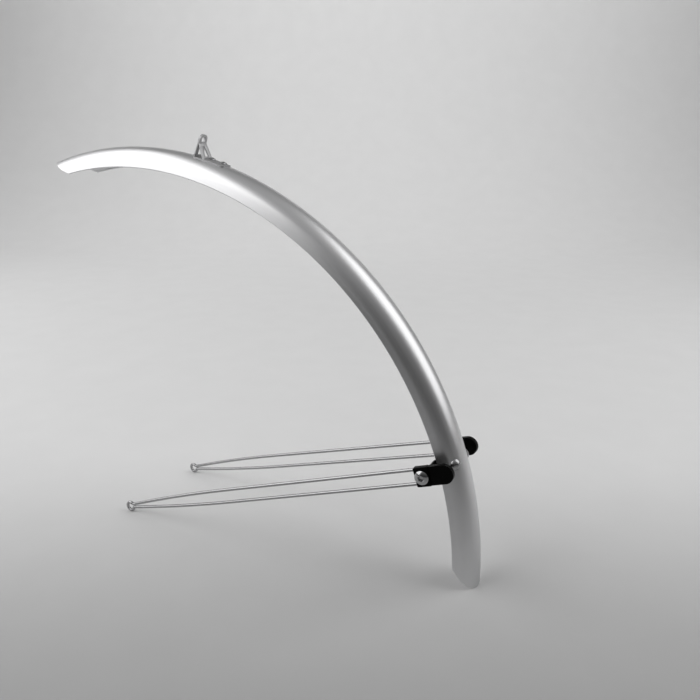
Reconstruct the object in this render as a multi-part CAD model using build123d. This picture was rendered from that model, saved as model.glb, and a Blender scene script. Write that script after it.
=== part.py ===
from build123d import *
import os
from math import acos, asin, atan, atan2, copysign, cos, degrees, hypot, radians, sin, sqrt, tan

os.makedirs("parts", exist_ok=True)

# Front mudguard of a bicycle, standing on its two stay eyelets and on the lower end of its blade.
# All sizes are in millimetres and degrees. The pieces are built round the wheel axle: +X points to the
# rear, +Y to the rider's right and +Z up. Angles go round the axle from +X up towards +Z. At the end
# everything moves together so that the floor is Z = 0 and the middle of the length is X = 0.

# Blade: rolled aluminium sheet, a round-topped U in section, each rim rolled inwards to a bead
CROWN_RADIUS = 350.0
BLADE_WIDTH = 36.4
BLADE_DEPTH = 17.4
CROWN_ROUND = 14.0
BLADE_SHEET = 1.0
BEAD_RADIUS = 1.1
FRONT_TIP_ANGLE = 107.25
FRONT_END_LENGTH = 52.0
FRONT_END_MARGIN = 2.6
FRONT_END_FULLNESS = 2.0
TAIL_END_LENGTH = 34.0
TAIL_END_MARGIN = 0.45
TAIL_END_FULLNESS = 2.8
END_STEPS = 16

# Fork-crown bracket: pressed steel saddle with a tab and a brace that lie flat together at the top
BRACKET_ANGLE = 77.2
BRACKET_SHEET = 1.2
SADDLE_WIDTH = 13.0
SADDLE_FRONT = 6.0
SADDLE_REAR = 28.5
SADDLE_CORNER = 3.0
TAB_FOOT = 3.6
TAB_TOP = 1.2
TAB_HALF_WIDTH = 4.7
TAB_HEIGHT = 19.5
LEG_FOOT_HALF_WIDTH = 6.4
LEG_SPLAY_HEIGHT = 11.0
LEG_WIDTH = 3.8
WINDOW_SILL = 1.6
WINDOW_TOP = 9.6
WINDOW_TOP_HALF_WIDTH = 1.0
WINDOW_CORNER = 0.6
BRACE_FOOT = 6.2
BRACE_JOIN_HEIGHT = 11.5
BRACE_BEND_RADIUS = 2.0
FORK_BOLT_HOLE_RADIUS = 2.6
FOOT_REACH = 4.0

# Rivets: dome heads outside, formed tails inside
RIVET_SHANK_RADIUS = 2.0
BRACKET_RIVET_HEAD_RADIUS = 3.2
BRIDGE_RIVET_HEAD_RADIUS = 3.6
BRACKET_RIVET_HEAD_HEIGHT = 1.5
BRIDGE_RIVET_HEAD_HEIGHT = 2.1
RIVET_HEAD_FLAT = 0.1
RIVET_TAIL_RADIUS = 3.0
RIVET_TAIL_HEIGHT = 1.4
RIVET_HOLE_PLAY = 0.1
BRACKET_RIVET_FRONT = 11.5
BRACKET_RIVET_REAR = 24.0
BRIDGE_RIVET_FROM_FLANK = 11.7
RIVET_WASHER_RADIUS = 4.2
RIVET_WASHER_SHEET = 0.8
WASHER_GAP = 0.3

# Stay bridge: steel strap inside the blade, its ends turned out under the rims and down behind the clips
CLIP_ANGLE = 18.0
BRIDGE_SHEET = 1.4
BRIDGE_WIDTH = 14.0
BRIDGE_RIM_ROOM = 0.3
BRIDGE_BEND_RADIUS = 1.7

# Clips: two moulded halves round the two wires, pulled together by one screw
CLIP_BLOCK_LENGTH = 12.8
CLIP_BLOCK_WIDTH = 16.6
CLIP_TONGUE_WIDTH = 16.0
CLIP_LENGTH = 32.4
CLIP_BACK_DEPTH = 2.3
CLIP_TONGUE_DEPTH = 2.1
CLIP_BLOCK_DEPTH = 2.9
CLIP_PARTING = 0.2
CLIP_EDGE_ROUND = 0.6
CLIP_CORNER_ROUND = 1.2
SCREW_FROM_CLIP_START = 6.2
SCREW_RADIUS = 2.5
SCREW_HOLE_PLAY = 0.15
SCREW_HEAD_RADIUS = 5.9
SCREW_HEAD_RIM = 1.3
SCREW_HEAD_HEIGHT = 3.3
SCREW_SOCKET_FLATS = 4.0
SCREW_SOCKET_DEPTH = 2.0
SCREW_END_SHOWING = 1.2
NUT_FLATS = 8.0
NUT_HEIGHT = 4.0
NUT_ROOM = 0.1
THREAD_PLAY = 0.03

# Stays: one wire each, bent round an eyelet at the hub end
WIRE_RADIUS = 1.5
EYE_HALF_SPACING = 48.5
CLIP_HALF_SPACING = 30.5
EYE_BORE_RADIUS = 2.75
EYE_LAND_DEPTH = 0.25
EYE_NECK_RADIUS = 2.2
EYE_THROAT_GAP = 0.2
ARM_HALF_GAP = 6.1
ARM_SPLAY = 4.2
WIRE_END_FROM_CLIP_START = 24.0
WIRE_SEAT_PLAY = 0.03

# Play between pieces that sit on each other, and how far a cut runs past what it cuts
SEAT_GAP = 0.05
CUT_OVERRUN = 1.0

# Values that follow from the ones above
AXLE = Axis((0, 0, 0), (0, -1, 0))
section_centre = CROWN_RADIUS - CROWN_ROUND
rim_radius = CROWN_RADIUS - BLADE_DEPTH
eye_loop_radius = EYE_BORE_RADIUS - EYE_LAND_DEPTH + WIRE_RADIUS
eye_outer_radius = eye_loop_radius + WIRE_RADIUS
tail_tip_angle = -degrees(asin(eye_outer_radius / CROWN_RADIUS))
to_rim = Vector(rim_radius - section_centre, BLADE_WIDTH / 2)
flank_angle = atan2(to_rim.Y, to_rim.X) - acos(CROWN_ROUND / to_rim.length)
flank_normal = Vector(cos(flank_angle), sin(flank_angle))
flank_down = Vector(-sin(flank_angle), cos(flank_angle))
bead_middle = Vector(rim_radius, BLADE_WIDTH / 2) - flank_normal * BEAD_RADIUS


def turned(angle, shape):
    """The shape moved round the axle from +X up to the angle."""
    return Rot(0, -angle, 0) * shape


def seat(angle, lean):
    """Plane on the outside of the crown: x runs forwards along the blade and z out of the sheet."""
    around = radians(angle)
    tilt = radians(lean)
    out = Vector(cos(around) * cos(tilt), sin(tilt), sin(around) * cos(tilt))
    core = Vector(section_centre * cos(around), 0, section_centre * sin(around))
    return Plane(origin=core + out * CROWN_ROUND, x_dir=(-sin(around), 0, cos(around)), z_dir=out)


def mirrored(shape):
    """The same piece on the rider's left."""
    return mirror(shape, about=Plane.XZ)


def u_corner_points(inset):
    """Tangent point and rim point of the U at a depth below its outside, on the +Y side."""
    tangent_point = Vector(section_centre, 0) + flank_normal * (CROWN_ROUND - inset)
    rim_point = Vector(rim_radius, BLADE_WIDTH / 2) - flank_normal * inset
    return tangent_point, rim_point


def flipped(point):
    """The point on the other side of the middle plane of the section."""
    return Vector(point.X, -point.Y)


def inside_blade(inset, first_angle, last_angle):
    """Everything under the surface at a depth below the blade's outside, between two angles."""
    tangent_point, rim_point = u_corner_points(inset)
    outline = [
        ThreePointArc(tangent_point, (CROWN_RADIUS - inset, 0), flipped(tangent_point)),
        Line(flipped(tangent_point), flipped(rim_point)),
        Line(flipped(rim_point), rim_point),
        Line(rim_point, tangent_point),
    ]
    return turned(first_angle, revolve(make_face(outline), AXLE, revolution_arc=last_angle - first_angle))


# Stations along the stay, from the rim down to the start of the clip
shelf = bead_middle.X - BEAD_RADIUS - BRIDGE_RIM_ROOM - BRIDGE_SHEET / 2
screw_along = shelf - BRIDGE_BEND_RADIUS - NUT_ROOM - NUT_FLATS / 2
clip_start = screw_along - SCREW_FROM_CLIP_START
stay_lean = degrees(atan((EYE_HALF_SPACING - CLIP_HALF_SPACING) / screw_along))


# Blade
def blade_section():
    """Sheet of even thickness round the U, each rim rolled inwards to an eight-sided bead."""
    outer_tangent = u_corner_points(0)[0]
    inner_tangent = u_corner_points(BLADE_SHEET)[0]
    flat = BEAD_RADIUS
    # Each of the eight sides spans a sixteenth of a turn to either side of its middle
    half_side = BEAD_RADIUS * tan(radians(360 / 16))
    bead = [
        (flat, half_side),
        (half_side, flat),
        (-half_side, flat),
        (-flat, half_side),
        (-flat, -half_side),
        (-half_side, -flat),
        (BEAD_RADIUS - BLADE_SHEET, -flat),
    ]
    bead_points = [bead_middle + flank_normal * out + flank_down * down for out, down in bead]
    right_points = [outer_tangent, *bead_points, inner_tangent]
    left_points = [flipped(point) for point in right_points]
    outline = [
        ThreePointArc(outer_tangent, (CROWN_RADIUS, 0), flipped(outer_tangent)).edge(),
        *Polyline(*left_points).edges(),
        ThreePointArc(flipped(inner_tangent), (CROWN_RADIUS - BLADE_SHEET, 0), inner_tangent).edge(),
        *Polyline(*right_points).edges(),
    ]
    return make_face(outline)


def end_outline(length, half_width, fullness):
    """Half of a superellipse: (x / length)^fullness + (y / half_width)^fullness = 1 with x from 0 up."""
    points = []
    for step in range(END_STEPS + 1):
        turn = radians(180 * step / END_STEPS - 90)
        forwards = length * abs(cos(turn)) ** (2 / fullness)
        sideways = half_width * abs(sin(turn)) ** (2 / fullness)
        points.append((forwards, copysign(sideways, turn)))
    curve = Spline(*points, tangents=[(1, 0), (-1, 0)])
    return make_face([curve.edge(), Line(points[-1], points[0]).edge()])


def end_waste(tip_angle, outwards, length, margin, fullness):
    """What is cut away to round one end, seen along the radius through its tip."""
    around = radians(tip_angle)
    tip = CROWN_RADIUS * Vector(cos(around), 0, sin(around))
    along = outwards * Vector(-sin(around), 0, cos(around))
    plane = Plane(origin=tip, x_dir=along, z_dir=(cos(around), 0, sin(around)))
    half_width = BLADE_WIDTH / 2 + margin
    block = Rectangle(2 * length, 4 * half_width)
    kept = Pos(-length, 0) * end_outline(length, half_width, fullness)
    waste = block - kept
    return extrude(plane * waste, 2 * BLADE_DEPTH, both=True)


def rivet_hole(plane):
    """Hole for a rivet shank through everything on its axis."""
    return plane * Cylinder(RIVET_SHANK_RADIUS + RIVET_HOLE_PLAY, CROWN_ROUND)


front_rivet_angle = BRACKET_ANGLE - degrees(BRACKET_RIVET_FRONT / CROWN_RADIUS)
rear_rivet_angle = BRACKET_ANGLE - degrees(BRACKET_RIVET_REAR / CROWN_RADIUS)
front_rivet_seat = seat(front_rivet_angle, 0)
rear_rivet_seat = seat(rear_rivet_angle, 0)
bridge_rivet_lean = degrees(flank_angle) - BRIDGE_RIVET_FROM_FLANK
right_bridge_seat = seat(CLIP_ANGLE, bridge_rivet_lean)
left_bridge_seat = seat(CLIP_ANGLE, -bridge_rivet_lean)

spare_angle = degrees(BLADE_DEPTH / CROWN_RADIUS)
blade_first = tail_tip_angle - spare_angle
blade_last = FRONT_TIP_ANGLE + spare_angle
blade = turned(blade_first, revolve(blade_section(), AXLE, revolution_arc=blade_last - blade_first))
blade -= [
    rivet_hole(front_rivet_seat),
    rivet_hole(rear_rivet_seat),
    rivet_hole(right_bridge_seat),
    rivet_hole(left_bridge_seat),
    end_waste(FRONT_TIP_ANGLE, 1, FRONT_END_LENGTH, FRONT_END_MARGIN, FRONT_END_FULLNESS),
    end_waste(tail_tip_angle, -1, TAIL_END_LENGTH, TAIL_END_MARGIN, TAIL_END_FULLNESS),
]
blade = blade.fix()


# Fork-crown bracket
def bracket_front_outline():
    """Front view of tab and brace: A-shaped, with a round top and a window; x runs across, y up."""
    outline = Polyline(
        (-LEG_FOOT_HALF_WIDTH, -FOOT_REACH),
        (-LEG_FOOT_HALF_WIDTH, 0),
        (-TAB_HALF_WIDTH, LEG_SPLAY_HEIGHT),
        (-TAB_HALF_WIDTH, TAB_HEIGHT - TAB_HALF_WIDTH),
        (TAB_HALF_WIDTH, TAB_HEIGHT - TAB_HALF_WIDTH),
        (TAB_HALF_WIDTH, LEG_SPLAY_HEIGHT),
        (LEG_FOOT_HALF_WIDTH, 0),
        (LEG_FOOT_HALF_WIDTH, -FOOT_REACH),
        close=True,
    )
    sill_half_width = LEG_FOOT_HALF_WIDTH - LEG_WIDTH
    window = Polygon(
        (-sill_half_width, WINDOW_SILL),
        (sill_half_width, WINDOW_SILL),
        (WINDOW_TOP_HALF_WIDTH, WINDOW_TOP),
        (-WINDOW_TOP_HALF_WIDTH, WINDOW_TOP),
        align=None,
    )
    window = fillet(window.vertices(), WINDOW_CORNER)
    return make_face(outline) + Pos(0, TAB_HEIGHT - TAB_HALF_WIDTH) * Circle(TAB_HALF_WIDTH) - window


def bracket_side_outline():
    """Side view of tab and brace: the brace bends up against the back of the tab; x runs forwards, y up."""
    slope = (TAB_TOP - TAB_FOOT) / TAB_HEIGHT
    brace_setback = BRACKET_SHEET * hypot(1, slope)

    def on_tab(height):
        """Point on the middle of the tab's sheet."""
        return Vector(TAB_FOOT + slope * height, height)

    brace_foot = Vector(-BRACE_FOOT, 0)
    brace_bend = on_tab(BRACE_JOIN_HEIGHT) - Vector(brace_setback, 0)
    brace_top = on_tab(TAB_HEIGHT) - Vector(brace_setback, 0)
    brace_start = brace_foot + (brace_foot - brace_bend).normalized() * FOOT_REACH
    brace = FilletPolyline(brace_start, brace_bend, brace_top, radius=BRACE_BEND_RADIUS)
    tab = Line(on_tab(-FOOT_REACH), on_tab(TAB_HEIGHT))
    return trace(tab.edges(), BRACKET_SHEET) + trace(brace.edges(), BRACKET_SHEET)


def crown_bracket_solid():
    """Saddle on the crown, with a tab and a brace that stand on it."""
    along_degrees = degrees(1 / CROWN_RADIUS)
    first = BRACKET_ANGLE - SADDLE_REAR * along_degrees
    last = BRACKET_ANGLE + SADDLE_FRONT * along_degrees
    base = seat(BRACKET_ANGLE, 0)
    saddle_length = SADDLE_FRONT + SADDLE_REAR
    footprint = Pos((SADDLE_FRONT - SADDLE_REAR) / 2, 0) * RectangleRounded(
        saddle_length, SADDLE_WIDTH, SADDLE_CORNER
    )
    shell = inside_blade(-SEAT_GAP - BRACKET_SHEET, first, last)
    saddle = shell & extrude(base * footprint, CROWN_ROUND, both=True)

    front_view = Plane(origin=base.origin, x_dir=base.y_dir, z_dir=base.x_dir)
    side_view = Plane(origin=base.origin, x_dir=base.x_dir, z_dir=-base.y_dir)
    plates = extrude(side_view * bracket_side_outline(), LEG_FOOT_HALF_WIDTH + CUT_OVERRUN, both=True)
    plates &= extrude(front_view * bracket_front_outline(), saddle_length, both=True)

    bolt_axis = front_view * Pos(0, TAB_HEIGHT - TAB_HALF_WIDTH, 0)
    bolt_hole = bolt_axis * Cylinder(FORK_BOLT_HOLE_RADIUS, 2 * saddle_length)
    under = inside_blade(-SEAT_GAP, first - CUT_OVERRUN, last + CUT_OVERRUN)
    cuts = [under, bolt_hole, rivet_hole(front_rivet_seat), rivet_hole(rear_rivet_seat)]
    return saddle + plates - cuts


def flat_seat_depth(inset, radius):
    """Depth at which a flat disc inside the crown first touches the surface at a depth, with its sides."""
    round_inside = CROWN_ROUND - inset
    return CROWN_ROUND - sqrt(round_inside**2 - radius**2)


def rivet(plane, head_radius, head_height, head_seat, tail_seat):
    """Dome head on the round crown, shank, and formed tail on a flat seat inside; seats are depths."""
    upright = (Align.CENTER, Align.CENTER, Align.MIN)
    sphere_radius = (head_radius**2 + head_height**2) / (2 * head_height)
    dome = Pos(0, 0, head_height - head_seat - sphere_radius) * Sphere(sphere_radius)
    head = dome & Pos(0, 0, -head_seat) * Cylinder(head_radius, 2 * (head_height - RIVET_HEAD_FLAT))
    head -= Pos(0, 0, -CROWN_ROUND) * Rot(0, 90, 0) * Cylinder(CROWN_ROUND - head_seat, 4 * head_radius)

    tail_end = -tail_seat - RIVET_TAIL_HEIGHT
    tail = Pos(0, 0, tail_end) * Cylinder(RIVET_TAIL_RADIUS, RIVET_TAIL_HEIGHT, align=upright)
    shank_length = head_height / 2 - head_seat - tail_end
    shank = Pos(0, 0, tail_end) * Cylinder(RIVET_SHANK_RADIUS, shank_length, align=upright)
    return plane * (head + shank + tail)


crown_bracket = crown_bracket_solid()
saddle_top = -2 * SEAT_GAP - BRACKET_SHEET
washer_top = flat_seat_depth(BLADE_SHEET + WASHER_GAP, RIVET_WASHER_RADIUS)
washer_under = washer_top + RIVET_WASHER_SHEET
bracket_head = (BRACKET_RIVET_HEAD_RADIUS, BRACKET_RIVET_HEAD_HEIGHT)
front_bracket_rivet = rivet(front_rivet_seat, *bracket_head, saddle_top, washer_under + SEAT_GAP)
rear_bracket_rivet = rivet(rear_rivet_seat, *bracket_head, saddle_top, washer_under + SEAT_GAP)


def backing_washer(plane):
    """Flat washer across the inside of the crown."""
    washer = Circle(RIVET_WASHER_RADIUS) - Circle(RIVET_SHANK_RADIUS + RIVET_HOLE_PLAY)
    return plane * Pos(0, 0, -washer_under) * extrude(washer, RIVET_WASHER_SHEET)


front_bracket_washer = backing_washer(front_rivet_seat)
rear_bracket_washer = backing_washer(rear_rivet_seat)


# Clip frame on the rider's right, before it turns up to the clip angle: x along the stay from the
# eyelet, z out of the wheel plane
lean = radians(stay_lean)
stay_plane = Plane(
    origin=(0, EYE_HALF_SPACING, 0),
    x_dir=(cos(lean), -sin(lean), 0),
    z_dir=(sin(lean), cos(lean), 0),
)


def placed(shape):
    """A piece drawn in the clip frame, turned up to its place on the rider's right."""
    return turned(CLIP_ANGLE, stay_plane * shape)


# Stay bridge
tab_level = -CLIP_BACK_DEPTH - SEAT_GAP - BRIDGE_SHEET / 2
# The strap is straight along the blade, so its two edges touch first
bridge_gap = SEAT_GAP + BRIDGE_WIDTH**2 / (8 * CROWN_RADIUS)


def stay_bridge_solid():
    """Strap swept along its middle line: over the crown, down both flanks, out under the rims and down."""
    crown_middle = CROWN_ROUND - BLADE_SHEET - bridge_gap - BRIDGE_SHEET / 2
    to_bead = bead_middle - Vector(section_centre, 0)
    bead_room = BEAD_RADIUS + BRIDGE_RIM_ROOM + BRIDGE_SHEET / 2
    leg = atan2(to_bead.Y, to_bead.X) - acos((crown_middle + bead_room) / to_bead.length)
    leg_top = Vector(section_centre + crown_middle * cos(leg), crown_middle * sin(leg))
    leg_run = (leg_top.X - shelf) / sin(leg)
    leg_foot = Vector(shelf, leg_top.Y + leg_run * cos(leg))
    tab_foot = stay_plane.from_local_coords((clip_start, 0, tab_level))
    tab_direction = stay_plane.x_dir
    tab_top = tab_foot + tab_direction * ((shelf - tab_foot.X) / tab_direction.X)
    side = FilletPolyline(tab_foot, tab_top, leg_foot, leg_top, radius=BRIDGE_BEND_RADIUS)
    crown = ThreePointArc(leg_top, (section_centre + crown_middle, 0), flipped(leg_top))
    path = Wire(side.edges() + [crown.edge()] + mirrored(side).edges())
    start = Plane(origin=tab_foot, x_dir=(0, 0, 1), z_dir=tab_direction)
    strap = sweep(start * Rectangle(BRIDGE_WIDTH, BRIDGE_SHEET), path)
    return turned(CLIP_ANGLE, strap)


screw_hole = placed(Pos(screw_along, 0, 0) * Cylinder(SCREW_RADIUS + SCREW_HOLE_PLAY, 4 * CLIP_BLOCK_WIDTH))
stay_bridge = stay_bridge_solid() - screw_hole - mirrored(screw_hole)
stay_bridge -= rivet_hole(right_bridge_seat)
stay_bridge -= rivet_hole(left_bridge_seat)
bridge_under = flat_seat_depth(BLADE_SHEET + bridge_gap + BRIDGE_SHEET + SEAT_GAP, RIVET_TAIL_RADIUS)
bridge_head = (BRIDGE_RIVET_HEAD_RADIUS, BRIDGE_RIVET_HEAD_HEIGHT)
right_bridge_rivet = rivet(right_bridge_seat, *bridge_head, -SEAT_GAP, bridge_under)


# Clip halves
def clip_outlines():
    """Block round the screw and round-ended tongue over the wire ends."""
    end_round = CLIP_TONGUE_WIDTH / 2
    block = Pos(clip_start + CLIP_BLOCK_LENGTH / 2, 0) * Rectangle(CLIP_BLOCK_LENGTH, CLIP_BLOCK_WIDTH)
    block = fillet(block.vertices(), CLIP_CORNER_ROUND)
    straight = CLIP_LENGTH - end_round - CLIP_CORNER_ROUND
    tongue = Pos(clip_start + CLIP_CORNER_ROUND + straight / 2, 0) * Rectangle(straight, CLIP_TONGUE_WIDTH)
    tongue += Pos(clip_start + CLIP_LENGTH - end_round, 0) * Circle(end_round)
    return block, tongue


def wire_channels():
    """Room for the two wires between the halves."""
    length = CUT_OVERRUN + WIRE_END_FROM_CLIP_START + WIRE_SEAT_PLAY
    bore = Rot(0, 90, 0) * Cylinder(WIRE_RADIUS + WIRE_SEAT_PLAY, length)
    middle = clip_start - CUT_OVERRUN + length / 2
    return [Pos(middle, ARM_HALF_GAP, 0) * bore, Pos(middle, -ARM_HALF_GAP, 0) * bore]


def clip_halves():
    """Flat inner half, and outer half with a raised block under the screw head."""
    block, tongue = clip_outlines()
    hole = Pos(screw_along, 0, 0) * Cylinder(SCREW_RADIUS + SCREW_HOLE_PLAY, 4 * CLIP_BLOCK_WIDTH)
    back = Pos(0, 0, -CLIP_BACK_DEPTH) * extrude(block + tongue, CLIP_BACK_DEPTH - CLIP_PARTING / 2)
    front = Pos(0, 0, CLIP_PARTING / 2) * extrude(tongue, CLIP_TONGUE_DEPTH - CLIP_PARTING / 2)
    front += Pos(0, 0, CLIP_PARTING / 2) * extrude(block, CLIP_BLOCK_DEPTH - CLIP_PARTING / 2)
    back = fillet(back.faces().sort_by(Axis.Z)[0].edges(), CLIP_EDGE_ROUND)
    front = fillet(front.faces().sort_by(Axis.Z)[-1].edges(), CLIP_EDGE_ROUND)
    cuts = [hole] + wire_channels()
    return back - cuts, front - cuts


clip_back, clip_front = clip_halves()
right_clip_back = placed(clip_back)
right_clip_front = placed(clip_front)


# Clamp screw and nut
def clamp_screw_solid():
    """Pan head with a hexagon socket, and a shank long enough to show behind the nut."""
    head_base = CLIP_BLOCK_DEPTH + SEAT_GAP
    dome_height = SCREW_HEAD_HEIGHT - SCREW_HEAD_RIM
    sphere_radius = (SCREW_HEAD_RADIUS**2 + dome_height**2) / (2 * dome_height)
    rim = Cylinder(SCREW_HEAD_RADIUS, SCREW_HEAD_HEIGHT, align=(Align.CENTER, Align.CENTER, Align.MIN))
    head = rim & Pos(0, 0, SCREW_HEAD_HEIGHT - sphere_radius) * Sphere(sphere_radius)
    socket = RegularPolygon(SCREW_SOCKET_FLATS / 2, 6, major_radius=False)
    head -= Pos(0, 0, SCREW_HEAD_HEIGHT - SCREW_SOCKET_DEPTH) * extrude(socket, SCREW_HEAD_HEIGHT)
    nut_face = tab_level - BRIDGE_SHEET / 2 - SEAT_GAP
    shank_length = head_base - nut_face + NUT_HEIGHT + SCREW_END_SHOWING
    shank = Cylinder(SCREW_RADIUS, shank_length, align=(Align.CENTER, Align.CENTER, Align.MAX))
    return Pos(screw_along, 0, head_base) * (head + shank)


def clamp_nut_solid():
    """Hexagon nut behind the turned-down end of the strap."""
    nut_face = tab_level - BRIDGE_SHEET / 2 - SEAT_GAP
    hexagon = RegularPolygon(NUT_FLATS / 2, 6, major_radius=False) - Circle(SCREW_RADIUS + THREAD_PLAY)
    return Pos(screw_along, 0, nut_face - NUT_HEIGHT) * extrude(hexagon, NUT_HEIGHT)


right_clamp_screw = placed(clamp_screw_solid())
right_clamp_nut = placed(clamp_nut_solid())


# Stays
def stay_solid():
    """Wire swept along two arms and the eyelet between them, with a bored land in the eyelet."""
    neck_level = WIRE_RADIUS + EYE_THROAT_GAP / 2 + EYE_NECK_RADIUS
    neck_along = sqrt((eye_loop_radius + EYE_NECK_RADIUS) ** 2 - neck_level**2)
    leave = degrees(atan2(neck_level, neck_along))
    splay = radians(ARM_SPLAY)
    arm_start = Vector(
        neck_along + EYE_NECK_RADIUS * sin(splay),
        neck_level - EYE_NECK_RADIUS * cos(splay),
    )
    bend_radius = (ARM_HALF_GAP - arm_start.Y) / (1 - cos(splay))
    bend_end = Vector(arm_start.X + bend_radius * sin(splay), ARM_HALF_GAP)
    wire_end = Vector(clip_start + WIRE_END_FROM_CLIP_START, ARM_HALF_GAP)
    bend_centre = (bend_end.X, ARM_HALF_GAP - bend_radius)
    upper = [
        Line(wire_end, bend_end),
        CenterArc(bend_centre, bend_radius, 90, ARM_SPLAY),
        CenterArc((neck_along, neck_level), EYE_NECK_RADIUS, ARM_SPLAY - 90, -(90 + ARM_SPLAY - leave)),
    ]
    eye = CenterArc((0, 0), eye_loop_radius, leave, 360 - 2 * leave)
    upper_edges = [line.edge() for line in upper]
    lower_edges = [mirror(edge, about=Plane.XZ).edge() for edge in upper_edges]
    path = Wire(upper_edges + [eye.edge()] + lower_edges)
    start = Plane(origin=(wire_end.X, wire_end.Y, 0), z_dir=(-1, 0, 0))
    wire = sweep(start * Circle(WIRE_RADIUS), path)
    return wire - Cylinder(EYE_BORE_RADIUS, 4 * WIRE_RADIUS)


right_stay = placed(stay_solid())

# Every piece under its own name
pieces = {
    "blade": blade,
    "crown_bracket": crown_bracket,
    "front_bracket_rivet": front_bracket_rivet,
    "rear_bracket_rivet": rear_bracket_rivet,
    "front_bracket_washer": front_bracket_washer,
    "rear_bracket_washer": rear_bracket_washer,
    "stay_bridge": stay_bridge,
    "right_bridge_rivet": right_bridge_rivet,
    "left_bridge_rivet": mirrored(right_bridge_rivet),
    "right_clip_back": right_clip_back,
    "left_clip_back": mirrored(right_clip_back),
    "right_clip_front": right_clip_front,
    "left_clip_front": mirrored(right_clip_front),
    "right_clamp_screw": right_clamp_screw,
    "left_clamp_screw": mirrored(right_clamp_screw),
    "right_clamp_nut": right_clamp_nut,
    "left_clamp_nut": mirrored(right_clamp_nut),
    "right_stay": right_stay,
    "left_stay": mirrored(right_stay),
}

# Stand the mudguard on the floor, with the middle of its length at X = 0
whole = Compound(children=[Compound(piece.solids()) for piece in pieces.values()]).bounding_box()
stand = Pos(-(whole.min.X + whole.max.X) / 2, 0, -whole.min.Z)
for name, piece in pieces.items():
    export_step(stand * piece, f"parts/{name}.step")
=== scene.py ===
import math
import bpy
import numpy as np
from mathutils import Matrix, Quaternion, Vector


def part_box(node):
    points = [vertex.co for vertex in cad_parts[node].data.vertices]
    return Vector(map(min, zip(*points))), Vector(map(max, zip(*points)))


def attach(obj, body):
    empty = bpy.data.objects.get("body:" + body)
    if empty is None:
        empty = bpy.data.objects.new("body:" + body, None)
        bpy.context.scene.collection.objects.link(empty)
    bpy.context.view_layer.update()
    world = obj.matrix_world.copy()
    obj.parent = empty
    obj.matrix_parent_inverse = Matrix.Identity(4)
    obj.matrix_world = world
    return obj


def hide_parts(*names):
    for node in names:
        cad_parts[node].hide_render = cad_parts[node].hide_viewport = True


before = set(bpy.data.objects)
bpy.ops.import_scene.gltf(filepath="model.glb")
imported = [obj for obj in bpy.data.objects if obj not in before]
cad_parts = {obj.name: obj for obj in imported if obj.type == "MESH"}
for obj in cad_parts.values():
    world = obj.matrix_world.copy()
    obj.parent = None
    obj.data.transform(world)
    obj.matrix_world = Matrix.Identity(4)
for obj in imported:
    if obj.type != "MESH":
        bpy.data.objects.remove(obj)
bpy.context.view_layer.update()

# Blade: one strip of aluminium sheet, rolled to nearly a half circle across and round the wheel along
# its length, with both rims turned inwards to a bead and both ends cut round. It is etched and anodised
# to a satin silver.
MM = 0.001
CROWN_RADIUS = 350.0
BLADE_WIDTH = 36.4
BLADE_DEPTH = 17.4
CROWN_ROUND = 17.8
BLADE_SHEET = 1.0
BEAD_RADIUS = 0.75
AXLE_HEIGHT = 5.5
FRONT_TIP_ANGLE = 107.25
FRONT_END = {"length": 28.1, "full_turn": 88.6, "fullness": 1.3}
TAIL_TIP_ANGLE = -math.degrees(math.asin(AXLE_HEIGHT / CROWN_RADIUS))
TAIL_END = {"length": 90.0, "full_turn": 130.0, "fullness": 2.3}
BLADE_STATIONS = 260
BEAD_STEPS = 14
FLANK_STEPS = 8
CROWN_STEPS = 49
SHARP_CORNER = 35.0
AXLE = np.array([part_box("blade")[1].x / MM - CROWN_RADIUS, 0.0, AXLE_HEIGHT])


def linear_colour(hex_colour):
    """sRGB hex to linear RGBA.

    Each channel c becomes c / 12.92 up to 0.04045, and ((c + 0.055) / 1.055)^2.4 above that.
    """
    channels = np.array([int(hex_colour[i:i + 2], 16) for i in (1, 3, 5)]) / 255
    linear = np.where(channels <= 0.04045, channels / 12.92, ((channels + 0.055) / 1.055) ** 2.4)
    return (*linear, 1.0)


def add_node(tree, kind, settings=None, inputs=None):
    """Adds one node, gives it its settings, and sets or links its inputs by name or number."""
    made = tree.nodes.new(kind)
    for name, value in (settings or {}).items():
        setattr(made, name, value)
    for name, value in (inputs or {}).items():
        if isinstance(value, bpy.types.NodeSocket):
            tree.links.new(value, made.inputs[name])
        else:
            made.inputs[name].default_value = value
    return made


def new_material(name):
    """A new node material, with its tree, its shader and its texture coordinates."""
    material = bpy.data.materials.new(name)
    material.use_nodes = True
    tree = material.node_tree
    shader = tree.nodes["Principled BSDF"]
    place = add_node(tree, "ShaderNodeTexCoord").outputs
    return material, tree, shader, place


# Most of a noise texture lies between these two values
NOISE_LOW = 0.3
NOISE_HIGH = 0.7


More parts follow.
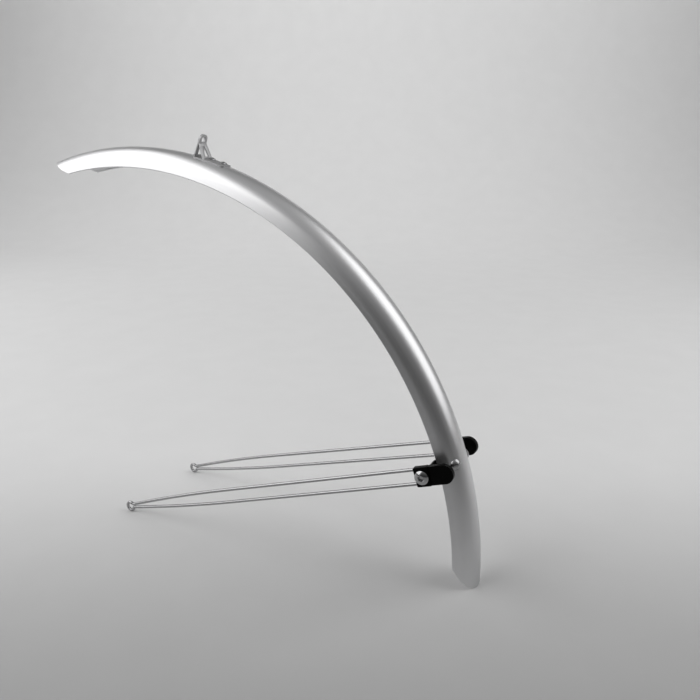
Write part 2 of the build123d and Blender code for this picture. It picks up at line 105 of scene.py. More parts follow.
def satin_aluminium():
    """Etched and anodised aluminium: a metal with a broad soft gloss, a fine even grain, and faint
    lines along the strip from the rolls that formed it. The grain is drawn coarse enough to show."""
    dark_cloud = linear_colour("#d3d3d4")
    pale_cloud = linear_colour("#dbdbdc")
    roughness = (0.35, 0.40)
    grain_mm = 0.6
    grain_depth_mm = 0.05
    grain_strength = 0.12
    cloud_mm = 45.0
    roll_line_mm = (160.0, 1.6)
    material, tree, shader, place = new_material("satin_anodised_aluminium")
    shader.inputs["Metallic"].default_value = 1.0
    clouds = add_node(tree, "ShaderNodeTexNoise", inputs={
        "Vector": place["Object"], "Scale": 1 / (cloud_mm * MM), "Detail": 3.0})
    colour = add_node(tree, "ShaderNodeMix", {"data_type": "RGBA"}, {
        0: clouds.outputs["Fac"], 6: dark_cloud, 7: pale_cloud})
    along_strip = add_node(tree, "ShaderNodeMapping", inputs={
        "Vector": place["UV"], "Scale": (1 / (roll_line_mm[0] * MM), 1 / (roll_line_mm[1] * MM), 1.0)})
    lines = add_node(tree, "ShaderNodeTexNoise", inputs={
        "Vector": along_strip.outputs[0], "Scale": 1.0, "Detail": 2.0})
    rough = add_node(tree, "ShaderNodeMapRange", inputs={
        "Value": lines.outputs["Fac"], "From Min": NOISE_LOW, "From Max": NOISE_HIGH,
        "To Min": roughness[0], "To Max": roughness[1]})
    grain = add_node(tree, "ShaderNodeTexNoise", inputs={
        "Vector": place["Object"], "Scale": 1 / (grain_mm * MM), "Detail": 2.0})
    bump = add_node(tree, "ShaderNodeBump", inputs={
        "Height": grain.outputs["Fac"], "Strength": grain_strength, "Distance": grain_depth_mm * MM})
    tree.links.new(colour.outputs[2], shader.inputs["Base Color"])
    tree.links.new(rough.outputs[0], shader.inputs["Roughness"])
    tree.links.new(bump.outputs[0], shader.inputs["Normal"])
    return material


def grid_faces(rows, columns, close_rows=False, close_columns=True):
    """Quads between neighbouring points of a grid that is numbered row by row."""
    row = np.arange(rows if close_rows else rows - 1)[:, None]
    column = np.arange(columns if close_columns else columns - 1)[None, :]
    next_row = (row + 1) % rows
    next_column = (column + 1) % columns
    corners = [row * columns + column, row * columns + next_column,
               next_row * columns + next_column, next_row * columns + column]
    return np.stack(corners, axis=-1).reshape(-1, 4)


def add_piece(name, points, faces, material, nodes, pattern=None):
    """Makes one smooth mesh piece from points in millimetres, in the place of CAD nodes.

    The pattern gives each point its distance along and across the piece, for its UV map.
    """
    mesh = bpy.data.meshes.new(name)
    mesh.from_pydata((points * MM).tolist(), [], [list(face) for face in faces])
    mesh.polygons.foreach_set("use_smooth", np.ones(len(mesh.polygons), bool))
    mesh.set_sharp_from_angle(angle=math.radians(SHARP_CORNER))
    if pattern is not None:
        corners = np.empty(len(mesh.loops), int)
        mesh.loops.foreach_get("vertex_index", corners)
        layer = mesh.uv_layers.new(name="along_and_across")
        layer.data.foreach_set("uv", (pattern[corners] * MM).ravel())
    mesh.materials.append(material)
    mesh.update()
    piece = bpy.data.objects.new(name, mesh)
    bpy.context.scene.collection.objects.link(piece)
    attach(piece, "root")
    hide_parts(*nodes)
    return piece


def blade_skin(depth, bead_end):
    """One skin of the blade from the +Y rim to the -Y rim, as radius and sideways position.

    The crown is an arc round the section centre, each flank is the straight line that touches it and
    reaches the rim, and the bead is an arc that touches the outside of the flank and bulges inwards.
    The skin starts at the bead's lowest point and leaves the bead at the angle bead_end.
    """
    centre = np.array([CROWN_RADIUS - CROWN_ROUND, 0.0])
    rim = np.array([CROWN_RADIUS - BLADE_DEPTH, BLADE_WIDTH / 2])
    to_rim = rim - centre
    lean = math.atan2(to_rim[1], to_rim[0]) - math.acos(CROWN_ROUND / np.hypot(*to_rim))
    normal = np.array([math.cos(lean), math.sin(lean)])
    down = np.array([-math.sin(lean), math.cos(lean)])
    bead_middle = rim - normal * BEAD_RADIUS
    turn = np.radians(np.linspace(90.0, bead_end, BEAD_STEPS))[:, None]
    bead = bead_middle + BEAD_RADIUS * (normal * np.cos(turn) + down * np.sin(turn))
    touch = centre + normal * (CROWN_ROUND - depth)
    flank = bead[-1] + (touch - bead[-1]) * np.linspace(0, 1, FLANK_STEPS + 1)[1:-1, None]
    arc = np.linspace(lean, -lean, CROWN_STEPS)[:, None]
    crown = centre + (CROWN_ROUND - depth) * np.hstack([np.cos(arc), np.sin(arc)])
    side = np.vstack([bead, flank])
    return np.vstack([side, crown, side[::-1] * [1, -1]])


def end_setback(radius, sideways, length, full_turn, fullness):
    """How far a round end lies behind its tip: length x (1 - (1 - share^fullness)^(1/fullness)).

    The end is cut in the flat strip, so the share is the turn round the section centre over full_turn,
    the turn at which the end would be cut back by its whole length.
    """
    turn = np.degrees(np.arctan2(np.abs(sideways), radius - CROWN_RADIUS + CROWN_ROUND))
    share = np.minimum(turn / full_turn, 1.0)
    return length * (1 - (1 - share**fullness) ** (1 / fullness))


def blade_surface():
    """The section's closed loop carried round the axle, each of its lines from one end cut to the other.

    The two skins meet along each end in a strip of faces, with a triangle at each bead.
    """
    crease = math.degrees(math.acos((BEAD_RADIUS - BLADE_SHEET) / BEAD_RADIUS))
    outer = blade_skin(0.0, 0.0)
    inner = blade_skin(BLADE_SHEET, 360.0 - crease)
    loop = np.vstack([outer, inner[-2:0:-1]])
    radius, sideways = loop[:, 0], loop[:, 1]
    first = np.radians(TAIL_TIP_ANGLE) + np.arcsin(end_setback(radius, sideways, **TAIL_END) / radius)
    last = np.radians(FRONT_TIP_ANGLE) - np.arcsin(end_setback(radius, sideways, **FRONT_END) / radius)
    angle = first + (last - first) * np.linspace(0, 1, BLADE_STATIONS)[:, None]
    points = np.stack([radius * np.cos(angle), sideways + 0 * angle, radius * np.sin(angle)], axis=-1)
    across = np.concatenate([[0], np.cumsum(np.hypot(*np.diff(loop, axis=0).T))])
    pattern = np.stack([angle * CROWN_RADIUS, across + 0 * angle], axis=-1)
    sheet = grid_faces(BLADE_STATIONS, len(loop))
    step = np.arange(1, len(outer) - 2)
    strip = np.stack([step, len(loop) - step, len(loop) - step - 1, step + 1], axis=-1)
    end_of_loop = len(outer) - 1
    corners = [[0, len(loop) - 1, 1], [end_of_loop - 1, end_of_loop + 1, end_of_loop]]
    tail_face = strip.tolist() + corners
    front_start = (BLADE_STATIONS - 1) * len(loop)
    front_face = [[front_start + corner for corner in face[::-1]] for face in tail_face]
    faces = sheet.tolist() + tail_face + front_face
    return points.reshape(-1, 3) + AXLE, faces, pattern.reshape(-1, 2)


aluminium = satin_aluminium()
blade_points, blade_faces, blade_pattern = blade_surface()
add_piece("blade_sheet", blade_points, blade_faces, aluminium,
          ["blade"], blade_pattern)


# Fork-crown bracket: a saddle, tab and brace pressed from zinc-plated steel sheet, with a bolt hole
# through both plates. Flat backing washers under the crown take the pull of its rivets.
def patchy_metal(name, hex_colour, roughness, patch_mm=3.0):
    """Plated steel or bare rivet alloy: a grey metal, unevenly dull in patches of a few millimetres."""
    material, tree, shader, place = new_material(name)
    shader.inputs["Metallic"].default_value = 1.0
    shader.inputs["Base Color"].default_value = linear_colour(hex_colour)
    patches = add_node(tree, "ShaderNodeTexNoise", inputs={
        "Vector": place["Object"], "Scale": 1 / (patch_mm * MM), "Detail": 4.0})
    rough = add_node(tree, "ShaderNodeMapRange", inputs={
        "Value": patches.outputs["Fac"], "From Min": NOISE_LOW, "From Max": NOISE_HIGH,
        "To Min": roughness[0], "To Max": roughness[1]})
    tree.links.new(rough.outputs[0], shader.inputs["Roughness"])
    return material


def dress(nodes, material, edge_mm=0.0):
    """Gives CAD nodes their material, smooth shading on rounded faces and, if asked, broken edges."""
    same_point_mm = 0.001
    edge_corner = 40.0
    for name in nodes:
        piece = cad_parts[name]
        piece.data.materials.clear()
        piece.data.materials.append(material)
        piece.data.polygons.foreach_set("use_smooth", np.ones(len(piece.data.polygons), bool))
        weld = piece.modifiers.new("join_triangles", "WELD")
        weld.merge_threshold = same_point_mm * MM
        if edge_mm:
            edges = piece.modifiers.new("broken_edges", "BEVEL")
            edges.width = edge_mm * MM
            edges.segments = 2
            edges.limit_method = "ANGLE"
            edges.angle_limit = math.radians(edge_corner)
        split = piece.modifiers.new("keep_corners", "EDGE_SPLIT")
        split.split_angle = math.radians(SHARP_CORNER)


bracket_steel = patchy_metal("zinc_plated_pressed_steel", "#b7b7b8", (0.50, 0.62))
dress(["crown_bracket"], bracket_steel, edge_mm=0.15)
dress(["front_bracket_washer", "rear_bracket_washer"], bracket_steel)

# Rivets: dome-headed aluminium rivets, two through the bracket and the crown and one through each
# shoulder of the blade, each with its tail squeezed to a barrel on the inside.
RIVET_SHANK_RADIUS = 2.0
RIVET_TAIL_RADIUS = 3.0
RIVET_TAIL_HEIGHT = 1.4
RIVET_TAIL_BULGE = 0.4
RIVET_HEAD_EDGE = 0.12
RIVET_SIDES = 48
RIVET_TAIL_STEPS = 9
RIVET_DOME_STEPS = 12
RIVET_DOME_TOP = 0.02
# A head's seat is its height over the crown's outside, a tail's seat its depth under it, and seat_round
# the radius of the round that the head sits on
BRACKET_RIVET = {
    "head_radius": 3.2, "head_height": 1.4, "head_seat": 1.3, "tail_seat": 2.865, "seat_round": 15.3}
BRACKET_ANGLE = 77.2
BRACKET_RIVETS_BEHIND_TAB = {"front": 11.5, "rear": 24.0}
SHOULDER_RIVET = {
    "head_radius": 4.5, "head_height": 2.3, "head_seat": 0.05, "tail_seat": 3.6, "seat_round": 17.85}
SHOULDER_RIVET_LEANS = {"right": 43.0, "left": -43.0}
CLIP_ANGLE = 18.0


def turned_surface(radius, height):
    """A profile turned round the z axis, from its first ring to its last, each end closed to a point.

    Radius and height are given ring by ring and side by side, so a ring needn't be round or level.
    """
    rings, sides = radius.shape
    turn = np.linspace(0, 2 * math.pi, sides, endpoint=False)
    body = np.stack([radius * np.cos(turn), radius * np.sin(turn), height], axis=-1).reshape(-1, 3)
    ends = np.array([[0.0, 0.0, height[0].mean()], [0.0, 0.0, height[-1].mean()]])
    points = np.vstack([body, ends])
    side = np.arange(sides)
    following = (side + 1) % sides
    first_end, last_end = len(body), len(body) + 1
    last_ring = (rings - 1) * sides
    first_fan = np.stack([0 * side + first_end, following, side], axis=-1)
    last_fan = np.stack([0 * side + last_end, last_ring + side, last_ring + following], axis=-1)
    return points, grid_faces(rings, sides).tolist() + first_fan.tolist() + last_fan.tolist()


def rivet_surface(head_radius, head_height, head_seat, tail_seat, seat_round):
    """Barrel tail, shank, an underside that follows the round it sits on, and a dome.

    The tail's side is half an ellipse, and the dome is the part of a sphere that has the head's radius
    and height.
    """
    half_turn = np.radians(np.linspace(-90, 90, RIVET_TAIL_STEPS))
    tail_radius = RIVET_TAIL_RADIUS - RIVET_TAIL_BULGE + RIVET_TAIL_BULGE * np.cos(half_turn)
    tail_height = -tail_seat - RIVET_TAIL_HEIGHT * (1 - np.sin(half_turn)) / 2
    sphere = (head_radius**2 + head_height**2) / (2 * head_height)
    dome_turn = np.linspace(math.asin(head_radius / sphere), RIVET_DOME_TOP, RIVET_DOME_STEPS)
    dome_radius = sphere * np.sin(dome_turn)
    dome_height = head_seat + head_height - sphere * (1 - np.cos(dome_turn))
    seat_radius = np.array([RIVET_SHANK_RADIUS, head_radius - RIVET_HEAD_EDGE, head_radius])
    turn = np.linspace(0, 2 * math.pi, RIVET_SIDES, endpoint=False)
    across = seat_radius[:, None] * np.sin(turn)
    seat = head_seat - seat_round + np.sqrt(seat_round**2 - across**2)
    seat[-1] = seat[-1] + RIVET_HEAD_EDGE
    level = np.ones(RIVET_SIDES)
    profile = np.concatenate([tail_radius, [RIVET_SHANK_RADIUS], seat_radius, dome_radius])
    below = np.concatenate([tail_height, [-tail_seat]])
    height = np.vstack([below[:, None] * level, seat, dome_height[:, None] * level])
    return turned_surface(profile[:, None] * level, height)


def on_blade(local, angle, lean):
    """Points given forwards, across and outwards from the crown's outside, put in their place.

    The place is at an angle round the axle, leaned sideways round the section centre.
    """
    around = math.radians(angle)
    tilt = math.radians(lean)
    away = np.array([math.cos(around), 0.0, math.sin(around)])
    sideways = np.array([0.0, 1.0, 0.0])
    out = away * math.cos(tilt) + sideways * math.sin(tilt)
    forwards = np.array([-math.sin(around), 0.0, math.cos(around)])
    across = np.cross(out, forwards)
    core = (CROWN_RADIUS - CROWN_ROUND) * away
    return AXLE + core + CROWN_ROUND * out + local @ np.stack([forwards, across, out])


rivet_alloy = patchy_metal("dull_rivet_alloy", "#a3a3a4", (0.22, 0.32), patch_mm=2.0)
for place_name, behind_tab in BRACKET_RIVETS_BEHIND_TAB.items():
    rivet_angle = BRACKET_ANGLE - math.degrees(behind_tab / CROWN_RADIUS)
    rivet_points, rivet_faces = rivet_surface(**BRACKET_RIVET)
    add_piece(f"{place_name}_bracket_dome_rivet", on_blade(rivet_points, rivet_angle, 0.0), rivet_faces,
              rivet_alloy, [f"{place_name}_bracket_rivet"])
for hand, rivet_lean in SHOULDER_RIVET_LEANS.items():
    rivet_points, rivet_faces = rivet_surface(**SHOULDER_RIVET)
    add_piece(f"{hand}_shoulder_dome_rivet", on_blade(rivet_points, CLIP_ANGLE, rivet_lean), rivet_faces,
              rivet_alloy, [f"{hand}_bridge_rivet"])


# Stay bridge: a strap of black coated steel inside the blade, held by the shoulder rivets, its ends
# turned out under the rims and down behind the clips.
def black_finish(name, hex_colour, shine, roughness, grain_mm, depth_mm):
    """Black coating or moulded plastic: a soft gloss over a fine grain, a little duller in places."""
    uneven = 0.05
    grain_strength = 0.5
    material, tree, shader, place = new_material(name)
    shader.inputs["Base Color"].default_value = linear_colour(hex_colour)
    shader.inputs["Specular IOR Level"].default_value = shine
    grain = add_node(tree, "ShaderNodeTexNoise", inputs={
        "Vector": place["Object"], "Scale": 1 / (grain_mm * MM), "Detail": 2.0})
    rough = add_node(tree, "ShaderNodeMapRange", inputs={
        "Value": grain.outputs["Fac"], "From Min": NOISE_LOW, "From Max": NOISE_HIGH,
        "To Min": roughness - uneven, "To Max": roughness + uneven})
    bump = add_node(tree, "ShaderNodeBump", inputs={
        "Height": grain.outputs["Fac"], "Strength": grain_strength, "Distance": depth_mm * MM})
    tree.links.new(rough.outputs[0], shader.inputs["Roughness"])
    tree.links.new(bump.outputs[0], shader.inputs["Normal"])
    return material


strap_black = black_finish(
    "black_coated_steel", "#0c0c0c", shine=0.14, roughness=0.4, grain_mm=0.8, depth_mm=0.03)
dress(["stay_bridge"], strap_black, edge_mm=0.2)

# Stays: one bright steel wire each side, bent round an eyelet for the bolt at the fork end, with both of
# its arms going into the clip. The wire is drawn through a die, which leaves it smooth with faint lines
# along it.
WIRE_RADIUS = 1.5
EYE_HALF_SPACING = 48.5
CLIP_HALF_SPACING = 30.5
EYE_BORE_RADIUS = 2.75
EYE_LOOP_RADIUS = 4.0
EYE_NECK_RADIUS = 2.2
EYE_THROAT_GAP = 0.2
ARM_HALF_GAP = 6.1
ARM_SPLAY = 4.2
SCREW_ALONG = 324.145
WIRE_END_ALONG = 341.945
WIRE_SIDES = 24
BEND_STEPS = 12
NECK_STEPS = 16
EYE_STEPS = 72
ARM_STOPS_BEFORE_BEND = 1.0


def drawn_wire():
    """Drawn stainless wire: a bright metal with fine lines along it, drawn coarse enough to show."""
    line_mm = (40.0, 0.5)
    roughness = (0.18, 0.26)
    material, tree, shader, place = new_material("drawn_stainless_wire")
    shader.inputs["Metallic"].default_value = 1.0
    shader.inputs["Base Color"].default_value = linear_colour("#a7a7a8")
    along_wire = add_node(tree, "ShaderNodeMapping", inputs={
        "Vector": place["UV"], "Scale": (1 / (line_mm[0] * MM), 1 / (line_mm[1] * MM), 1.0)})
    lines = add_node(tree, "ShaderNodeTexNoise", inputs={
        "Vector": along_wire.outputs[0], "Scale": 1.0, "Detail": 2.0})
    rough = add_node(tree, "ShaderNodeMapRange", inputs={
        "Value": lines.outputs["Fac"], "From Min": NOISE_LOW, "From Max": NOISE_HIGH,
        "To Min": roughness[0], "To Max": roughness[1]})
    tree.links.new(rough.outputs[0], shader.inputs["Roughness"])
    return material


def in_clip_frame(local, side):
    """Points given along the stay from its eyelet, across it and outwards, put in their place.

    They are turned in towards the clip, then up round the axle. Side 1 is the right one, -1 the left.
    """
    lean = math.atan((EYE_HALF_SPACING - CLIP_HALF_SPACING) / SCREW_ALONG)
    along, across, out = local[..., 0], local[..., 1], local[..., 2]
    x = along * math.cos(lean) + out * math.sin(lean)
    y = side * (EYE_HALF_SPACING - along * math.sin(lean) + out * math.cos(lean))
    z = -across
    turn = math.radians(CLIP_ANGLE)
    placed = [x * math.cos(turn) - z * math.sin(turn), y, x * math.sin(turn) + z * math.cos(turn)]
    return np.stack(placed, axis=-1) + AXLE


def arc_points(centre, radius, start, sweep, steps):
    """Points on an arc round a centre, and the direction of travel at each, angles in degrees."""
    angle = np.radians(start + sweep * np.linspace(0, 1, steps))[:, None]
    ring = np.hstack([np.cos(angle), np.sin(angle)])
    travel = np.hstack([-np.sin(angle), np.cos(angle)]) * np.sign(sweep)
    return np.asarray(centre) + radius * ring, travel


def stay_line():
    """Middle line of the wire: straight arm, slow bend, neck, eyelet, and the same again mirrored."""
    neck_level = WIRE_RADIUS + EYE_THROAT_GAP / 2 + EYE_NECK_RADIUS
    neck_along = math.sqrt((EYE_LOOP_RADIUS + EYE_NECK_RADIUS) ** 2 - neck_level**2)
    leave = math.degrees(math.atan2(neck_level, neck_along))
    splay = math.radians(ARM_SPLAY)
    neck_end_along = neck_along + EYE_NECK_RADIUS * math.sin(splay)
    neck_end_level = neck_level - EYE_NECK_RADIUS * math.cos(splay)
    bend_radius = (ARM_HALF_GAP - neck_end_level) / (1 - math.cos(splay))
    bend_end = neck_end_along + bend_radius * math.sin(splay)
    arm = np.array([[WIRE_END_ALONG, ARM_HALF_GAP], [bend_end + ARM_STOPS_BEFORE_BEND, ARM_HALF_GAP]])
    arm_travel = np.array([[-1.0, 0.0], [-1.0, 0.0]])
    bend = arc_points((bend_end, ARM_HALF_GAP - bend_radius), bend_radius, 90, ARM_SPLAY, BEND_STEPS)
    neck_sweep = -(90 + ARM_SPLAY - leave)
    neck = arc_points((neck_along, neck_level), EYE_NECK_RADIUS, ARM_SPLAY - 90, neck_sweep, NECK_STEPS)
    eye = arc_points((0, 0), EYE_LOOP_RADIUS, leave, 360 - 2 * leave, EYE_STEPS)
    half_eye = EYE_STEPS // 2
    line = np.vstack([arm, bend[0], neck[0][1:], eye[0][1:half_eye]])
    travel = np.vstack([arm_travel, bend[1], neck[1][1:], eye[1][1:half_eye]])
    back_line = line[::-1] * [1, -1]
    back_travel = travel[::-1] * [-1, 1]
    return np.vstack([line, back_line]), np.vstack([travel, back_travel])


def stay_surface(side):
    """A circle carried along the wire's middle line, with the eyelet's inside reamed to its bore."""
    line, travel = stay_line()
    turn = np.linspace(0, 2 * math.pi, WIRE_SIDES, endpoint=False)
    sideways = np.stack([-travel[:, 1], travel[:, 0]], axis=-1)
    flat = line[:, None, :] + WIRE_RADIUS * np.cos(turn)[None, :, None] * sideways[:, None, :]
    height = np.broadcast_to(WIRE_RADIUS * np.sin(turn), flat.shape[:2])
    reach = np.hypot(flat[..., 0], flat[..., 1])
    flat = flat * (np.maximum(reach, EYE_BORE_RADIUS) / reach)[..., None]
    local = np.concatenate([flat, height[..., None]], axis=-1)
    along = np.concatenate([[0], np.cumsum(np.hypot(*np.diff(line, axis=0).T))])
    pattern = np.stack(np.broadcast_arrays(along[:, None], turn * WIRE_RADIUS), axis=-1)
    first_end = list(range(WIRE_SIDES))[::-1]
    last_end = list(range((len(line) - 1) * WIRE_SIDES, len(line) * WIRE_SIDES))
    faces = grid_faces(len(line), WIRE_SIDES).tolist() + [first_end, last_end]
    faces = [face[::-side] for face in faces]
    return in_clip_frame(local, side).reshape(-1, 3), faces, pattern.reshape(-1, 2)


wire_steel = drawn_wire()
for side, hand in ((1, "right"), (-1, "left")):
    wire_points, wire_faces, wire_pattern = stay_surface(side)
    add_piece(f"{hand}_stay_wire", wire_points, wire_faces, wire_steel,
              [f"{hand}_stay"], wire_pattern)

# Clips: two halves moulded in black nylon, closed round the wires and held to the strap by one screw.
# The mould leaves a smooth, deep black with a soft gloss along the rounded edges.
clip_nylon = black_finish(
    "moulded_black_nylon", "#030303", shine=0.06, roughness=0.34, grain_mm=0.5, depth_mm=0.02)
dress(["left_clip_back", "right_clip_back", "left_clip_front", "right_clip_front"], clip_nylon)

# Clamp screws and nuts: a pan-head screw with a hexagon socket goes through both halves of the clip
# and the strap into a hexagon nut. Both are turned from steel and bright plated.
SCREW_RADIUS = 2.5
SCREW_HEAD_RADIUS = 5.9
SCREW_HEAD_BASE = 2.95
SCREW_HEAD_RIM = 1.3
SCREW_HEAD_HEIGHT = 3.3
SCREW_HEAD_EDGE = 0.25
SCREW_HEAD_STEPS = 14
SOCKET_FLATS = 4.6
SOCKET_DEPTH = 2.7
SOCKET_LIP = 0.15
SOCKET_LIP_DEPTH = 0.12
SOCKET_POINT_DEPTH = 0.2
SOCKET_POINT_SHARE = 0.1
SCREW_END = -9.0
SCREW_END_CHAMFER = 0.3
THREAD_PITCH = 0.8
THREAD_DEPTH = 0.35
THREAD_TOP = -3.0
THREAD_RUN_OUT = 0.2
THREAD_STEPS = 90
NUT_FLATS = 8.0
NUT_FACE = -3.8
NUT_HEIGHT = 4.0
NUT_FACE_INSET = 0.1
NUT_CHAMFER_ANGLE = 30.0
NUT_BORE_RADIUS = 2.53
NUT_COUNTERSINK = 0.35
FASTENER_SIDES = 96


def hexagon(flats, turn):
    """Distance from the middle of a hexagon to its side, at each turn.

    It is half the width across flats over the cosine of the turn from the middle of the nearest flat.
    """
    return flats / 2 / np.cos((turn + math.pi / 6) % (math.pi / 3) - math.pi / 6)


def screw_surface():
    """Threaded shank, flat underside, upright rim, a dome that is part of a sphere, and its socket.

    The thread is a cosine wave along the shank that moves on by one pitch in each turn.
    """
    turn = np.linspace(0, 2 * math.pi, FASTENER_SIDES, endpoint=False)
    level = np.ones(FASTENER_SIDES)
    thread_height = np.linspace(SCREW_END + SCREW_END_CHAMFER, THREAD_TOP, THREAD_STEPS)[:, None] * level
    wave = (1 - np.cos(2 * math.pi * thread_height / THREAD_PITCH - turn)) / 2
    thread_radius = SCREW_RADIUS - THREAD_DEPTH * wave
    end_radius = SCREW_RADIUS - THREAD_DEPTH - SCREW_END_CHAMFER
    dome = SCREW_HEAD_HEIGHT - SCREW_HEAD_RIM
    sphere = (SCREW_HEAD_RADIUS**2 + dome**2) / (2 * dome)
    under = SCREW_HEAD_BASE
    top = under + SCREW_HEAD_HEIGHT
    socket = hexagon(SOCKET_FLATS, turn)
    socket_floor = top - SOCKET_DEPTH
    share = np.linspace(0, 1, SCREW_HEAD_STEPS)[:, None]
    dome_radius = SCREW_HEAD_RADIUS + (socket + SOCKET_LIP - SCREW_HEAD_RADIUS) * share
    dome_height = top - sphere + np.sqrt(sphere**2 - dome_radius**2)
    profile = [
        (end_radius * level, SCREW_END * level),
        (thread_radius, thread_height),
        (SCREW_RADIUS * level, (THREAD_TOP + THREAD_RUN_OUT) * level),
        (SCREW_RADIUS * level, under * level),
        ((SCREW_HEAD_RADIUS - SCREW_HEAD_EDGE) * level, under * level),
        (SCREW_HEAD_RADIUS * level, (under + SCREW_HEAD_EDGE) * level),
        (dome_radius, dome_height),
        (socket, dome_height[-1] - SOCKET_LIP_DEPTH),
        (socket, socket_floor * level),
        (SOCKET_POINT_SHARE * socket, (socket_floor - SOCKET_POINT_DEPTH) * level),
    ]
    radius = np.vstack([step[0] for step in profile])
    height = np.vstack([step[1] for step in profile])
    return turned_surface(radius, height)


def nut_surface():
    """A hexagon with its corners turned off by a cone at both faces, and a bore with a countersink.

    Its profile runs from the bore down, round the outside and back into the bore.
    """
    turn = np.linspace(0, 2 * math.pi, FASTENER_SIDES, endpoint=False)
    level = np.ones(FASTENER_SIDES)
    corner = hexagon(NUT_FLATS, turn)
    face_circle = NUT_FLATS / 2 - NUT_FACE_INSET
    turned_off = (corner - face_circle) * math.tan(math.radians(NUT_CHAMFER_ANGLE))
    low = NUT_FACE - NUT_HEIGHT
    high = NUT_FACE
    bore = NUT_BORE_RADIUS * level
    bore_edge = (NUT_BORE_RADIUS + NUT_COUNTERSINK) * level
    profile = [
        (bore, (low + NUT_COUNTERSINK) * level),
        (bore_edge, low * level),
        (face_circle * level, low * level),
        (corner, low + turned_off),
        (corner, high - turned_off),
        (face_circle * level, high * level),
        (bore_edge, high * level),
        (bore, (high - NUT_COUNTERSINK) * level),
    ]
    radius = np.vstack([step[0] for step in profile])
    height = np.vstack([step[1] for step in profile])
    points = np.stack([radius * np.cos(turn), radius * np.sin(turn), height], axis=-1)
    return points.reshape(-1, 3), grid_faces(len(radius), FASTENER_SIDES, close_rows=True).tolist()


screw_steel = patchy_metal("bright_plated_screw_steel", "#b1b1b2", (0.12, 0.18))
for side, hand in ((1, "right"), (-1, "left")):
    for kind, (fastener_points, fastener_faces) in (("screw", screw_surface()), ("nut", nut_surface())):
        placed = in_clip_frame(fastener_points + [SCREW_ALONG, 0.0, 0.0], side)
        add_piece(f"{hand}_clamp_{kind}_turned", placed, [face[::side] for face in fastener_faces],
                  screw_steel, [f"{hand}_clamp_{kind}"])

# Studio: a pale paper sweep, a large softbox on each side, a light on the wall behind, and a room that is
# dim near the horizon. The camera stands behind the wheel on its left, level with the bracket's top, and
# its place, lens and roll are fitted to the outlines in the photograph.
CAMERA_PLACE = Vector((0.365775, -0.49669, 0.36126))
CAMERA_TARGET = Vector((0.102535, 0.0, 0.19039))
CAMERA_ROLL = 0.084
CAMERA_LENS = 35.50
CAMERA_SENSOR = 36.0
CAMERA_CLIP_START = 0.01
OBJECT_MIDDLE = (0.0, 0.0, 0.2)
ROOM_COLOUR = "#f0f0f0"
HORIZON_STRENGTH = 0.05
CEILING_STRENGTH = 0.47
VIEW_FORWARD = (CAMERA_TARGET - CAMERA_PLACE).to_2d().normalized()


def paper_sweep():
    """A floor that turns up into a wall behind the object through a quarter circle, seen square on."""
    near_edge = -3.0
    back = 1.6
    bend = 0.9
    wall_top = 1.8
    half_width = 5.0
    bend_steps = 24
    turn = np.linspace(0, math.pi / 2, bend_steps)
    depth = np.concatenate([[near_edge], back + bend * np.sin(turn), [back + bend]])
    height = np.concatenate([[0.0], bend - bend * np.cos(turn), [wall_top]])
    across = np.array([-half_width, half_width])
    forward = np.array([*VIEW_FORWARD, 0.0])
    right = np.array([forward[1], -forward[0], 0.0])
    points = depth[:, None, None] * forward + across[None, :, None] * right
    points = points + height[:, None, None] * np.array([0.0, 0.0, 1.0])
    faces = grid_faces(len(depth), len(across), close_columns=False)
    mesh = bpy.data.meshes.new("paper_sweep")
    mesh.from_pydata(points.reshape(-1, 3).tolist(), [], faces.tolist())
    mesh.polygons.foreach_set("use_smooth", np.ones(len(mesh.polygons), bool))
    sweep = bpy.data.objects.new("paper_sweep", mesh)
    bpy.context.scene.collection.objects.link(sweep)
    return sweep


def studio_paper():
    """Matt pale grey paper, slightly uneven in patches of a few centimetres.

    Painted shade: its colour darkens towards the camera, smoothly between two distances along the view.
    """
    dark_patch = linear_colour("#e1e1e1")
    pale_patch = linear_colour("#e7e7e7")
    black = (0.0, 0.0, 0.0, 1.0)
    patch_mm = 60.0
    paper_roughness = 0.9
    shade_from = -0.36
    shade_to = 0.16
    near_painted_shade = 0.46
    material, tree, shader, place = new_material("pale_studio_paper")
    shader.inputs["Roughness"].default_value = paper_roughness
    patches = add_node(tree, "ShaderNodeTexNoise", inputs={
        "Vector": place["Object"], "Scale": 1 / (patch_mm * MM), "Detail": 5.0})
    pale = add_node(tree, "ShaderNodeMix", {"data_type": "RGBA"}, {
        0: patches.outputs["Fac"], 6: dark_patch, 7: pale_patch})
    along_view = add_node(tree, "ShaderNodeVectorMath", {"operation": "DOT_PRODUCT"}, {
        0: place["Object"], 1: (*VIEW_FORWARD, 0.0)})
    shade = add_node(tree, "ShaderNodeMapRange", {"interpolation_type": "SMOOTHSTEP"}, {
        "Value": along_view.outputs["Value"], "From Min": shade_from, "From Max": shade_to,
        "To Min": near_painted_shade, "To Max": 1.0})
    # Painted shade: the paper's colour is mixed towards black near the camera, standing in for the light
    # falling off there
    colour = add_node(tree, "ShaderNodeMix", {"data_type": "RGBA"}, {
        0: shade.outputs[0], 6: black, 7: pale.outputs[2]})
    tree.links.new(colour.outputs[2], shader.inputs["Base Color"])
    return material


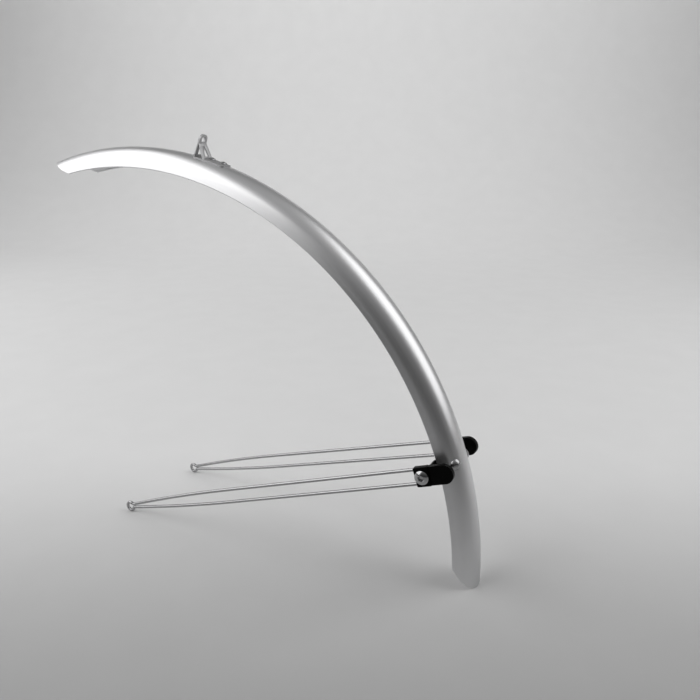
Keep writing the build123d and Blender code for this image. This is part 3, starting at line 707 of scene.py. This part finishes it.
def soft_light(name, place, target, width, height, power):
    """A rectangular area light that faces a point, with sizes in metres and its power in watts."""
    lamp = bpy.data.lights.new(name, "AREA")
    lamp.shape = "RECTANGLE"
    lamp.size = width
    lamp.size_y = height
    lamp.energy = power
    light = bpy.data.objects.new(name, lamp)
    light.location = place
    light.rotation_euler = (Vector(target) - Vector(place)).to_track_quat("-Z", "Y").to_euler()
    bpy.context.scene.collection.objects.link(light)


paper_sweep().data.materials.append(studio_paper())
soft_light("left_softbox", place=(-1.17, -0.76, 1.20), target=OBJECT_MIDDLE,
           width=2.35, height=1.9, power=25.0)
soft_light("right_softbox", place=(1.24, 0.66, 1.20), target=OBJECT_MIDDLE,
           width=1.4, height=1.9, power=13.8)
soft_light("wall_light", place=(-0.53, 1.65, 1.6), target=(-0.88, 2.31, 0.7),
           width=3.0, height=0.5, power=12.0)

# The room brightens from the horizon to the ceiling with the square of the direction's height
world = bpy.data.worlds.new("studio_room")
world.use_nodes = True
bpy.context.scene.world = world
room_tree = world.node_tree
room = room_tree.nodes["Background"]
room.inputs["Color"].default_value = linear_colour(ROOM_COLOUR)
direction = add_node(room_tree, "ShaderNodeTexCoord").outputs["Generated"]
rise = add_node(room_tree, "ShaderNodeSeparateXYZ", inputs={0: direction})
steep_rise = add_node(room_tree, "ShaderNodeMath", {"operation": "MULTIPLY"}, {
    0: rise.outputs["Z"], 1: rise.outputs["Z"]})
ceiling = add_node(room_tree, "ShaderNodeMapRange", inputs={
    "Value": steep_rise.outputs[0], "From Min": 0.0, "From Max": 1.0,
    "To Min": HORIZON_STRENGTH, "To Max": CEILING_STRENGTH})
room_tree.links.new(ceiling.outputs[0], room.inputs["Strength"])

camera_data = bpy.data.cameras.new("camera")
camera_data.lens = CAMERA_LENS
camera_data.sensor_width = CAMERA_SENSOR
camera_data.clip_start = CAMERA_CLIP_START
camera = bpy.data.objects.new("camera", camera_data)
camera.location = CAMERA_PLACE
camera.rotation_mode = "QUATERNION"
facing = (CAMERA_TARGET - CAMERA_PLACE).to_track_quat("-Z", "Y")
camera.rotation_quaternion = facing @ Quaternion((0, 0, 1), math.radians(CAMERA_ROLL))
bpy.context.scene.collection.objects.link(camera)
bpy.context.scene.camera = camera
bpy.context.scene.view_settings.view_transform = "Standard"
